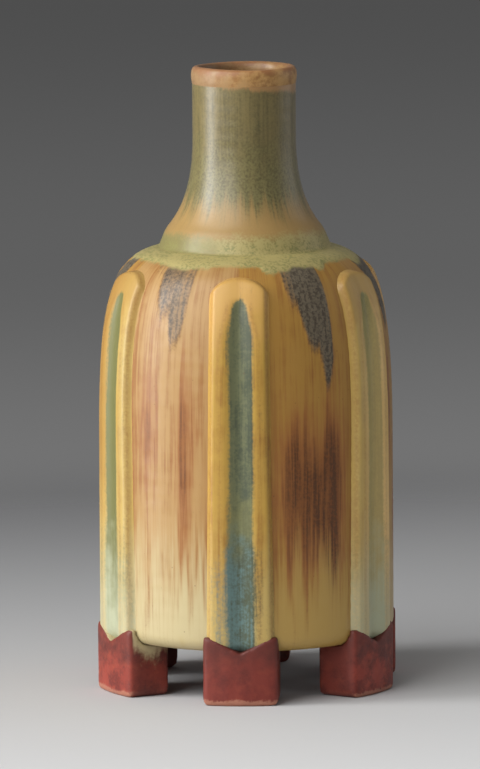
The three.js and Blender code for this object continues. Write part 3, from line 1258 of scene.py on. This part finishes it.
@dataclass
class Body:
    """The floor, the barrel and the shoulder, under one skin of panel glaze with runs on it."""

    outline: Outline
    throwing: Throwing
    panel: PanelGlaze
    liner: LinerGlaze
    clay: BareClay
    green: Runs = field(init=False)
    slate: Runs = field(init=False)
    iron: Stains = field(init=False)
    # Pale wash per panel, from panel 0; the front-left panel's near-full wash is partly a painted sheen of
    # the key light.
    blush_and_sheen: tuple[float, ...] = (0.05, 0.5, 0.2, 0.8, 0.3, 0.95)
    iron_height: float = 0.12
    crown_inset: float = 5.0
    barrel_foot: float = 5.0
    opening_lap: float = 6.0
    floor_gap: float = 0.3
    floor_rise: float = 2.0
    dish_share: float = 0.785
    dish_depth: float = 1.5
    dish_edge: float = 1.0
    ledge: float = 4.0
    ledge_reach: float = 2.0
    chamfer: float = 0.4
    floor_steps: int = 144
    pitch: float = 1.3
    segments: int = 360

    def __post_init__(self) -> None:
        """Draws the runs and stains: listed for the two front panels, from a seed on the others."""
        last = SIDES - 1
        slate = {
            0: (
                Finger(-0.17, 0.18, 34.0, 0.7),
                Finger(0.03, 0.22, 55.0, 0.95),
                Finger(0.2, 0.15, 74.0, 0.9),
            ),
            last: (
                Finger(-0.14, 0.2, 40.0, 0.6),
                Finger(0.08, 0.2, 54.0, 0.62),
                Finger(-0.34, 0.2, 18.0, 0.5),
            ),
        }
        iron = {
            0: (
                Stain(-0.32, 114.0, 0.22, 38.0, 0.85),
                Stain(0.28, 106.0, 0.22, 50.0, 0.95),
                Stain(-0.02, 100.0, 0.22, 40.0, 0.7),
                Stain(-0.28, 70.0, 0.12, 26.0, 0.4),
                Stain(0.24, 68.0, 0.12, 26.0, 0.5),
            ),
            last: (
                Stain(-0.28, 136.0, 0.22, 36.0, 0.5),
                Stain(0.30, 138.0, 0.20, 40.0, 0.6),
                Stain(0.24, 92.0, 0.14, 30.0, 0.4),
            ),
        }
        green_sizes = {"skirt": 10.0, "thickness": 0.28, "bead": 0.2, "soft": 7.0}
        slate_sizes = {"skirt": 0.0, "thickness": 0.26, "bead": 0.22, "soft": 16.0}
        self.green = Runs.drawn(seed=17, given={}, lengths=(1.0, 5.0), **green_sizes)
        self.slate = Runs.drawn(seed=5, given=slate, lengths=(18.0, 60.0), **slate_sizes)
        self.iron = Stains.drawn(seed=11, given=iron)

    def wall_line(self) -> WallLine:
        """The whole outside from the bottom edge to the collar."""
        barrel, shoulder = self.outline.barrel_line(), self.outline.shoulder_line()
        return WallLine(np.vstack([barrel.points, shoulder.points[1:]]))

    def skin(self, angle: np.ndarray, radius: np.ndarray, level: np.ndarray) -> Skin:
        """Wheel marks and glaze together.

        Args:
            angle: Angles round the axis.
            radius: Radii of points on the wall.
            level: Levels of those points.

        Returns:
            The height over the wall, and the glaze layers.
        """
        line = self.wall_line()
        along = np.interp(level - radius, line.points[:, 1] - line.points[:, 0], line.along)
        fallen = np.maximum(0.0, line.length - along - self.crown_inset)
        green, green_height = self.green.laid(angle, fallen)
        slate, slate_height = self.slate.laid(angle, fallen)
        iron = self.iron.density(angle, level)
        blush_and_sheen = np.array(self.blush_and_sheen)[on_panel(angle)[0]]
        films = {Film.GREEN: green, Film.SLATE: slate, Film.IRON: iron, Film.BLUSH_AND_SHEEN: blush_and_sheen}
        glaze = np.maximum(np.maximum(green_height, slate_height), self.iron_height * iron)
        return self.throwing.relief(angle, level) + glaze, films

    def build(self) -> None:
        """Builds and dresses the three pieces."""
        outline = self.outline
        inner_radius = outline.barrel_radius - outline.wall
        barrel_foot = outline.seat + self.barrel_foot
        barrel_inner = np.array([[inner_radius, outline.barrel_top], [inner_radius, barrel_foot]])
        self.ring("glazed_barrel", "barrel_wall", outline.barrel_line(), barrel_inner)
        shoulder = outline.shoulder_line()
        inset = shoulder.points[:-1] - outline.wall * shoulder.normals[:-1]
        opening = outline.collar_foot_radius - self.opening_lap
        edge = [[opening, outline.crown], [opening, outline.crown - outline.wall]]
        self.ring("glazed_shoulder", "shoulder_dome", shoulder, np.vstack([edge, inset[::-8]]))
        self.slab(inner_radius - self.floor_gap, outline.seat + outline.wall + self.floor_rise)

    def ring(self, name: str, node: str, line: WallLine, inner: np.ndarray) -> None:
        """Builds and dresses one ring of the wall.

        Args:
            name: The piece's name.
            node: The CAD node that it stands for.
            line: Its outer line.
            inner: Its inner points, from the top down.
        """
        sizes = (self.pitch, self.segments)
        ThrownRing(name, node, line, inner, self.panel, self.liner, *sizes).build(self.skin)

    def slab(self, boss: float, top: float) -> None:
        """Builds and dresses the floor: unglazed clay, with a turned recess below.

        Args:
            boss: The radius of the floor inside the barrel.
            top: The level of the floor's top.
        """
        seat, rim = self.outline.seat, self.outline.barrel_radius - self.outline.corner
        dish, roof = self.dish_share * rim, seat + self.dish_depth
        ledge, reach = seat + self.ledge, rim + self.ledge_reach
        section = [(0.0, roof), (dish - self.dish_depth, roof), (dish, seat + self.chamfer)]
        section += [(dish + self.dish_edge, seat), (rim, seat), (reach, seat + self.chamfer)]
        section += [(reach, ledge), (boss, ledge + self.chamfer), (boss, top), (0.0, top)]
        body = bmesh.new()
        verts = [body.verts.new((radius * MM, 0.0, level * MM)) for radius, level in section]
        edges = [body.edges.new(pair) for pair in zip(verts, verts[1:])]
        turn = {"cent": (0, 0, 0), "axis": (0, 0, 1), "angle": TURN, "steps": self.floor_steps}
        bmesh.ops.spin(body, geom=verts + edges, **turn)
        bmesh.ops.remove_doubles(body, verts=body.verts, dist=WELD)
        bmesh.ops.recalc_face_normals(body, faces=body.faces)
        mesh = bpy.data.meshes.new("clay_floor")
        body.to_mesh(mesh)
        body.free()
        mesh.materials.append(self.clay.material())
        settle(plain_object("clay_floor", mesh), self.clay.slot, "base_slab")


@dataclass
class Neck:
    """The collar, the neck and the lip."""

    outline: Outline
    throwing: Throwing
    glaze: NeckGlaze
    lip_glaze: LipGlaze
    liner: LinerGlaze
    segments: int = 288
    pitch: float = 0.9
    throat_inset: float = 11.0
    spigot_wall: float = 4.2
    settling: float = 6.0

    def skin(self, angle: np.ndarray, radius: np.ndarray, level: np.ndarray) -> Skin:
        """Wheel marks, fading out below the band so that the collar sits close on the crown."""
        crown = self.outline.crown
        return self.throwing.relief(angle, level) * ease(crown, crown + self.settling, level), {}

    def build(self) -> None:
        """Builds and dresses the three pieces."""
        outline = self.outline
        mouth, foot, crown = outline.mouth_radius, outline.neck_foot, outline.crown
        throat = outline.collar_foot_radius - self.throat_inset
        inside = bezier((mouth, foot), (mouth, foot - outline.flare_waist), (throat, crown), steps=12)
        tip = crown - outline.wall
        collar_inner = np.vstack([inside, [[throat, tip], [throat + self.spigot_wall, tip]]])
        neck_inner = np.array([[mouth, outline.neck_top], [mouth, foot]])
        lip_inner = np.array([[mouth, outline.neck_top]])
        self.ring("glazed_collar", "neck_collar", outline.collar_line(), collar_inner, self.glaze)
        self.ring("glazed_neck", "neck_tube", outline.neck_line(), neck_inner, self.glaze)
        self.ring("rolled_lip", "lip_ring", outline.lip_line(), lip_inner, self.lip_glaze, False)

    def ring(
        self,
        name: str,
        node: str,
        line: WallLine,
        inner: np.ndarray,
        finish: Finish,
        hidden_top: bool = True,
    ) -> None:
        """Builds and dresses one ring.

        Args:
            name: The piece's name.
            node: The CAD node that it stands for.
            line: Its outer line.
            inner: Its inner points, from the top down.
            finish: Its outer finish.
            hidden_top: Whether its top edge is hidden under another ring.
        """
        sizes = (self.pitch, self.segments, hidden_top)
        ThrownRing(name, node, line, inner, finish, self.liner, *sizes).build(self.skin)


def baked(name: str, source: bpy.types.Object) -> bpy.types.Object:
    """Turns an object with modifiers into a plain one, and removes the first.

    Args:
        name: The new object's name.
        source: The object with modifiers.

    Returns:
        The plain object, smooth all over.
    """
    depsgraph = bpy.context.evaluated_depsgraph_get()
    mesh = bpy.data.meshes.new_from_object(
        source.evaluated_get(depsgraph), preserve_all_data_layers=True, depsgraph=depsgraph
    )
    mesh.name = name
    mesh.polygons.foreach_set("use_smooth", np.ones(len(mesh.polygons), bool))
    bpy.data.objects.remove(source)
    return plain_object(name, mesh)


class RoundTheAxis:
    """A geometry tree that repeats a piece round the axis and makes the copies uneven, as by hand."""

    def __init__(self) -> None:
        """Builds the tree, with its inputs and its nodes."""
        self.tree = bpy.data.node_groups.new("round_the_axis", "GeometryNodeTree")
        sockets = self.tree.interface
        sockets.new_socket("Geometry", in_out="OUTPUT", socket_type="NodeSocketGeometry")
        kinds = {
            "Geometry": "NodeSocketGeometry",
            "Count": "NodeSocketInt",
            "Proud": "NodeSocketFloat",
            "Unevenness": "NodeSocketFloat",
            "Grain": "NodeSocketFloat",
            "Seed": "NodeSocketFloat",
            "Finish": "NodeSocketMaterial",
        }
        self.inputs = {
            label: sockets.new_socket(label, in_out="INPUT", socket_type=kind).identifier
            for label, kind in kinds.items()
        }
        self.grow()

    def grow(self) -> None:
        """Adds the nodes: copies on turned points, an uneven surface, and a flat stand on level 0."""
        web = Web(self.tree)
        wanted = {label: web.node("NodeGroupInput", {}, {}, label) for label in self.inputs}
        turn = web.vector(0.0, 0.0, web.node("GeometryNodeInputIndex") * TURN / wanted["Count"])
        points = web.node("GeometryNodePoints", {}, {"Count": wanted["Count"]})
        placed = {"Points": points, "Instance": wanted["Geometry"], "Rotation": turn}
        copies = web.node("GeometryNodeInstanceOnPoints", {}, placed)
        solid = web.node("GeometryNodeRealizeInstances", {}, {"Geometry": copies})
        place = web.node("GeometryNodeInputPosition")
        texture = {"Vector": place, "W": wanted["Seed"], "Scale": 1.0 / wanted["Grain"], "Detail": 2.0}
        clouds = web.node("ShaderNodeTexNoise", {"noise_dimensions": "4D"}, texture)
        out = wanted["Proud"] + wanted["Unevenness"] * (clouds * 2.0 - 1.0)
        normal = web.node("GeometryNodeInputNormal")
        offset = web.node("ShaderNodeVectorMath", {"operation": "SCALE"}, {0: normal, "Scale": out})
        moved = web.node("GeometryNodeSetPosition", {}, {"Geometry": solid, "Offset": offset})
        right, back, up = web.axes(place)
        grounded = web.vector(right, back, web.math("MAXIMUM", up, 0.0))
        stood = web.node("GeometryNodeSetPosition", {}, {"Geometry": moved, "Position": grounded})
        dressed = web.node("GeometryNodeSetMaterial", {}, {"Geometry": stood, "Material": wanted["Finish"]})
        web.node("NodeGroupOutput", {}, {"Geometry": dressed})

    def repeat(
        self,
        name: str,
        mesh: bpy.types.Mesh,
        finish: Finish,
        seed: float,
        proud: float,
        unevenness: float,
        grain: float,
    ) -> bpy.types.Object:
        """Repeats a piece round the axis.

        Args:
            name: The new piece's name.
            mesh: The piece at the front.
            finish: The finish of all the copies.
            seed: Which unevenness.
            proud: How far the surface is moved out, in millimetres.
            unevenness: How far it wanders, in millimetres.
            grain: The width of its bumps, in millimetres.

        Returns:
            One plain object with all the copies.
        """
        source = plain_object(f"{name}_source", mesh)
        modifier = source.modifiers.new("round_the_axis", "NODES")
        modifier.node_group = self.tree
        values = {"Count": SIDES, "Finish": finish.material(), "Seed": seed, "Proud": proud * MM}
        values |= {"Unevenness": unevenness * MM, "Grain": grain * MM}
        for label, value in values.items():
            modifier[self.inputs[label]] = value
        return baked(name, source)


@dataclass
class Pilasters:
    """Six straps up the wall and over the shoulder, with a flute, an arched end and a V-shaped tail."""

    body: Body
    finish: PilasterGlaze
    copies: RoundTheAxis
    relief: float = 3.0
    top_width: float = 31.0
    rounding: float = 4.2
    crown_margin: float = 16.0
    flute_width: float = 17.0
    flute_depth: float = 1.7
    arch: float = 12.0
    arch_taper: float = 22.0
    arch_opening: float = 6.0
    crowning: float = 0.3
    arris_inset: float = 0.9
    arris_width: float = 1.1
    ridge_inset: float = 2.6
    ridge_width: float = 1.0
    unevenness: float = 0.10
    grain: float = 7.0
    notch_width: float = 31.0
    notch_depth: float = 8.0
    bedding: float = 0.35
    columns: int = 41
    rows: int = 150

    def build(self) -> None:
        """Builds, repeats and dresses the straps."""
        low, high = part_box(PILASTERS[0])
        width = (high.x - low.x) / MM
        line = self.body.wall_line()
        upright = line.points[:, 1] < self.body.outline.barrel_top
        start = float(np.interp(low.z / MM, line.points[upright, 1], line.along[upright]))
        end = line.length - self.crown_margin - self.body.crown_inset
        share, row = np.meshgrid(np.linspace(-1, 1, self.columns), np.linspace(0, 1, self.rows))
        tail = np.clip(1 - np.abs(share) * width / self.notch_width, 0, 1)
        lower = start + self.notch_depth * (1 - tail)
        upper = end - self.top_width / 2 * (1 - np.sqrt(1 - share**2))
        height = lower + (upper - lower) * row
        half = 0.5 * (width + (self.top_width - width) * (height - start) / (end - start))
        front, films = self.front(share * half, half, upper - height)
        back = np.full_like(front, -2 * self.bedding)
        grids = [self.place(line, share * half, height, over).reshape(-1, 3) for over in (front, back)]
        mesh = smooth_mesh("pilaster", np.concatenate(grids), self.faces())
        for kind, values in films.items():
            keep_film(mesh, kind, values)
        hand = {"seed": 3.0, "proud": 0.0, "unevenness": self.unevenness, "grain": self.grain}
        piece = self.copies.repeat("fluted_pilasters", mesh, self.finish, **hand)
        settle(piece, self.finish.slot, *PILASTERS)

    def front(self, across: np.ndarray, half: np.ndarray, below: np.ndarray) -> Skin:
        """The strap's front.

        Args:
            across: The distance from the strap's middle.
            half: Half the strap's width there.
            below: The distance below the arched end.

        Returns:
            The height over the wall, and the pool in the flute and the thin ridges.
        """
        aside = np.abs(across)
        edge = np.minimum(half - aside, below)
        reach = ease(self.arch, self.arch + self.arch_taper, below)
        half_flute = self.flute_width / 2 * (0.5 + 0.5 * reach)
        opened = ease(self.arch, self.arch + self.arch_opening, below)
        hollow = 0.5 + 0.5 * np.cos(math.pi * across / half_flute)
        trough = np.where(aside < half_flute, hollow, 0.0) * opened
        crowned = self.relief + self.crowning * np.cos(math.pi * (aside / half - 0.62) * 1.3)
        lift = (crowned + self.bedding) * ease(0.0, self.rounding, edge)
        arris = np.exp(-(((aside - half_flute - self.arris_inset) / self.arris_width) ** 2)) * opened
        ridge = np.exp(-(((edge - self.ridge_inset) / self.ridge_width) ** 2))
        ridge = np.clip(ridge + 0.8 * arris, 0, 1)
        depth = self.flute_depth * (0.5 + 0.5 * reach)
        return lift - self.bedding - depth * trough, {Film.POOL: trough, Film.RIDGE: ridge}

    def place(self, line: WallLine, across: np.ndarray, height: np.ndarray, over: np.ndarray) -> np.ndarray:
        """Points over the wall.

        Args:
            line: The wall's line.
            across: The distance round the wall from the strap's middle.
            height: The length up the wall's line.
            over: The height over the wall.

        Returns:
            Points in millimetres, at the front of the vase.
        """
        spot, out = line.place(height), line.outward(height)
        angle = across / spot[..., 0]
        radius = spot[..., 0] + out[..., 0] * over
        level = spot[..., 1] + out[..., 1] * over
        return np.stack([radius * np.sin(angle), -radius * np.cos(angle), level], axis=-1)

    def faces(self) -> np.ndarray:
        """The quads of the front, the back and the edges between them.

        Returns:
            Rows of four point numbers.
        """
        number = np.arange(self.rows * self.columns).reshape(self.rows, self.columns)
        quads = np.stack([number[:-1, :-1], number[:-1, 1:], number[1:, 1:], number[1:, :-1]], axis=-1)
        front = quads.reshape(-1, 4)
        back = front[:, ::-1] + number.size
        rim = np.concatenate([number[0, :-1], number[:-1, -1], number[-1, :0:-1], number[:0:-1, 0]])
        on = np.roll(rim, -1)
        edge = np.stack([on, rim, rim + number.size, on + number.size], axis=-1)
        return np.vstack([front, back, edge])


@dataclass
class Feet:
    """Six notched feet: the CAD foot softened as wet clay is, and repeated."""

    finish: FootGlaze
    copies: RoundTheAxis
    voxel: float = 0.8
    softness: float = 0.5
    smoothing: int = 8
    proud: float = 0.3
    unevenness: float = 0.25
    grain: float = 9.0
    facing_low: float = 0.1
    facing_high: float = 0.8

    def build(self) -> None:
        """Builds, repeats and dresses the feet."""
        source = plain_object("foot_source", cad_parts[FEET[0]].data.copy())
        body = bmesh.new()
        body.from_mesh(source.data)
        bmesh.ops.remove_doubles(body, verts=body.verts, dist=WELD)
        body.to_mesh(source.data)
        body.free()
        source.data.materials.clear()
        remesh = source.modifiers.new("clay", "REMESH")
        remesh.mode = "VOXEL"
        remesh.voxel_size = self.voxel * MM
        smooth = source.modifiers.new("softened", "SMOOTH")
        smooth.factor = self.softness
        smooth.iterations = self.smoothing
        soft = baked("foot_soft", source)
        mesh = soft.data
        bpy.data.objects.remove(soft)
        keep_film(mesh, Film.OUTER_FACE, self.facing_out(mesh))
        hand = {"seed": 5.0, "proud": self.proud, "unevenness": self.unevenness, "grain": self.grain}
        piece = self.copies.repeat("brick_feet", mesh, self.finish, **hand)
        settle(piece, self.finish.slot, *FEET)

    def facing_out(self, mesh: bpy.types.Mesh) -> np.ndarray:
        """How much each point faces outward: 1 on the outer face, easing to 0 round its edges.

        Args:
            mesh: The foot in front.

        Returns:
            How much it faces outward, point by point.
        """
        count = len(mesh.vertices)
        points, normals = np.empty((count, 3)), np.empty((count, 3))
        mesh.vertices.foreach_get("co", points.ravel())
        mesh.vertices.foreach_get("normal", normals.ravel())
        outward = points[:, :2] / np.linalg.norm(points[:, :2], axis=1, keepdims=True)
        return ease(self.facing_low, self.facing_high, (normals[:, :2] * outward).sum(axis=1))


@dataclass(frozen=True)
class Softbox:
    """A flat soft light: its angle to the camera's right, place, sizes, aim and power."""

    name: str
    azimuth: float
    distance: float
    level: float
    width: float
    height: float
    aim_level: float
    power: float

    def build(self, direction: Vector) -> None:
        """Sets the light up.

        Args:
            direction: The level direction from the vase to the light.
        """
        light = bpy.data.lights.new(self.name, "AREA")
        light.shape = "RECTANGLE"
        light.size = self.width * MM
        light.size_y = self.height * MM
        light.energy = self.power
        box = bpy.data.objects.new(self.name, light)
        bpy.context.scene.collection.objects.link(box)
        place = direction * self.distance + Vector((0.0, 0.0, self.level))
        aim = Vector((0.0, 0.0, self.aim_level)) - place
        box.location = place * MM
        box.rotation_euler = aim.to_track_quat("-Z", "Y").to_euler()


@dataclass
class Studio:
    """A pale floor that fades into a grey backdrop, softboxes on the left, a card and the camera."""

    image_height: int = 769
    sensor: float = 36.0
    distance: float = 4000.0
    azimuth: float = 2.75
    elevation: float = 7.6
    pixel: float = 0.5
    aim_right: float = -2.95
    roll: float = -0.38
    aim_level: float = 150.0
    floor_radius: float = 900.0
    floor_segments: int = 128
    fade_start: float = 420.0
    fade_end: float = 860.0
    near_depth: float = -300.0
    far_depth: float = 700.0
    light_slant: float = 0.35
    key: Softbox = Softbox(
        "key_softbox", azimuth=-50.0, distance=2200.0, level=1700.0,
        width=3000.0, height=3200.0, aim_level=250.0, power=88.0,
    )
    strip: Softbox = Softbox(
        "strip_softbox", azimuth=-78.0, distance=1800.0, level=850.0,
        width=600.0, height=2400.0, aim_level=850.0, power=31.0,
    )
    card: Softbox = Softbox(
        "white_card", azimuth=105.0, distance=1600.0, level=600.0,
        width=1200.0, height=1200.0, aim_level=200.0, power=2.5,
    )
    fill: float = 0.21
    glossy_fill: float = 0.13
    near_lit_paper: Colour = srgb(221, 221, 221)
    far_shaded_paper: Colour = srgb(107, 107, 109)
    paper_roughness: float = 0.8
    high_grey: Colour = srgb(78, 78, 78)
    greys: tuple[tuple[float, float, Colour], ...] = (
        (-0.082, -0.118, srgb(95, 95, 95)),
        (-0.116, -0.144, srgb(115, 115, 115)),
        (-0.144, -0.160, srgb(158, 158, 159)),
        (-0.157, -0.182, srgb(212, 212, 212)),
    )
    clip_end: float = 100.0

    def build(self) -> None:
        """Makes the floor, the backdrop, the lights and the camera."""
        self.floor()
        self.backdrop()
        for box in (self.key, self.strip, self.card):
            box.build(self.towards(box.azimuth, 0.0))
        self.camera()
        bpy.context.scene.view_settings.view_transform = "Standard"

    def towards(self, azimuth: float, elevation: float) -> Vector:
        """The direction from the vase at an angle to the camera's right and an angle up, in degrees."""
        turn, rise = math.radians(self.azimuth + azimuth), math.radians(elevation)
        return Vector((math.sin(turn) * math.cos(rise), -math.cos(turn) * math.cos(rise), math.sin(rise)))

    def floor(self) -> None:
        """A round floor with painted light falloff, fading out at its rim."""
        body = bmesh.new()
        rim = {"segments": self.floor_segments, "radius": self.floor_radius * MM}
        bmesh.ops.create_circle(body, cap_ends=True, **rim)
        mesh = bpy.data.meshes.new("floor")
        body.to_mesh(mesh)
        body.free()
        material = bpy.data.materials.new("floor_paper")
        material.use_nodes = True
        material.node_tree.nodes.clear()
        web = Web(material.node_tree)
        right, back, _ = web.axes(web.node("ShaderNodeTexCoord", {}, {}, "Object"))
        # Painted light falloff: the paper is paler towards the front and the right, greyer towards the
        # back.
        depth = (back - right * self.light_slant) / MM
        share = (depth - self.near_depth) / (self.far_depth - self.near_depth)
        tone = web.mix(share, self.near_lit_paper, self.far_shaded_paper)
        skin = {"Base Color": tone, "Roughness": self.paper_roughness}
        paper = web.node("ShaderNodeBsdfPrincipled", {}, skin)
        clear = web.node("ShaderNodeBsdfTransparent")
        radius = web.math("SQRT", right * right + back * back) / MM
        fade = radius.step(self.fade_start, self.fade_end)
        shader = web.node("ShaderNodeMixShader", {}, {0: fade, 1: paper, 2: clear})
        web.node("ShaderNodeOutputMaterial", {}, {"Surface": shader})
        mesh.materials.append(material)
        plain_object("floor", mesh)

    def backdrop(self) -> None:
        """Grey paper behind the vase, painted paler towards the floor as light falloff, and an even fill
        light.
        """
        world = bpy.data.worlds.new("studio")
        bpy.context.scene.world = world
        world.use_nodes = True
        world.node_tree.nodes.clear()
        web = Web(world.node_tree)
        slope = web.axes(web.node("ShaderNodeTexCoord", {}, {}, "Generated"))[2]
        # Painted light falloff: darker high up, paler towards the floor.
        tone: object = self.high_grey
        for high, low, colour in self.greys:
            tone = web.mix(slope.step(high, low), tone, colour)
        seen = web.node("ShaderNodeBackground", {}, {"Color": tone})
        light = web.node("ShaderNodeBackground", {}, {"Color": (1, 1, 1, 1), "Strength": self.fill})
        gleam = web.node("ShaderNodeBackground", {}, {"Color": (1, 1, 1, 1), "Strength": self.glossy_fill})
        camera_ray = web.node("ShaderNodeLightPath", {}, {}, "Is Camera Ray")
        glossy_ray = web.node("ShaderNodeLightPath", {}, {}, "Is Glossy Ray")
        unseen = web.node("ShaderNodeMixShader", {}, {0: glossy_ray, 1: light, 2: gleam})
        both = web.node("ShaderNodeMixShader", {}, {0: camera_ray, 1: unseen, 2: seen})
        web.node("ShaderNodeOutputWorld", {}, {"Surface": both})

    def camera(self) -> None:
        """A long lens a little above the vase, so that the photograph's frame is filled as it is there."""
        data = bpy.data.cameras.new("camera")
        data.sensor_fit = "VERTICAL"
        data.sensor_height = self.sensor
        data.sensor_width = self.sensor
        data.lens = self.sensor * self.distance / (self.image_height * self.pixel)
        data.clip_end = self.clip_end
        camera = bpy.data.objects.new("camera", data)
        bpy.context.scene.collection.objects.link(camera)
        back = self.towards(0.0, self.elevation)
        aim = self.towards(90.0, 0.0) * self.aim_right + Vector((0.0, 0.0, self.aim_level))
        camera.location = (aim + back * self.distance) * MM
        turn = Quaternion((0.0, 0.0, 1.0), math.radians(self.roll))
        camera.rotation_euler = ((-back).to_track_quat("-Z", "Y") @ turn).to_euler()
        bpy.context.scene.camera = camera


def main() -> None:
    """Builds the vase and the studio."""
    logging.basicConfig(level=logging.INFO, format="%(name)s %(message)s")
    outline = Outline.from_frame()
    throwing = Throwing()
    girth, neck_girth = outline.barrel_radius, outline.neck_radius
    liner = LinerGlaze("liner_glaze", "brown_glaze", girth)
    clay = BareClay("bare_clay", "bare_clay", girth, roughness=0.85, coat=0.0, ripple=0.6)
    body = Body(outline, throwing, PanelGlaze("panel_glaze", "brown_glaze", girth), liner, clay)
    body.build()
    neck_glaze = NeckGlaze("neck_glaze", "olive_glaze", neck_girth, coat=0.7, coat_roughness=0.3)
    lip_glaze = LipGlaze("lip_glaze", "tan_glaze", neck_girth)
    Neck(outline, throwing, neck_glaze, lip_glaze, liner).build()
    copies = RoundTheAxis()
    Pilasters(body, PilasterGlaze("pilaster_glaze", "ochre_glaze", girth), copies).build()
    foot_glaze = FootGlaze("foot_glaze", "brick_glaze", girth, roughness=0.5, coat=0.05, ripple=0.5)
    Feet(foot_glaze, copies).build()
    Studio().build()


if __name__ == "__main__":
    main()
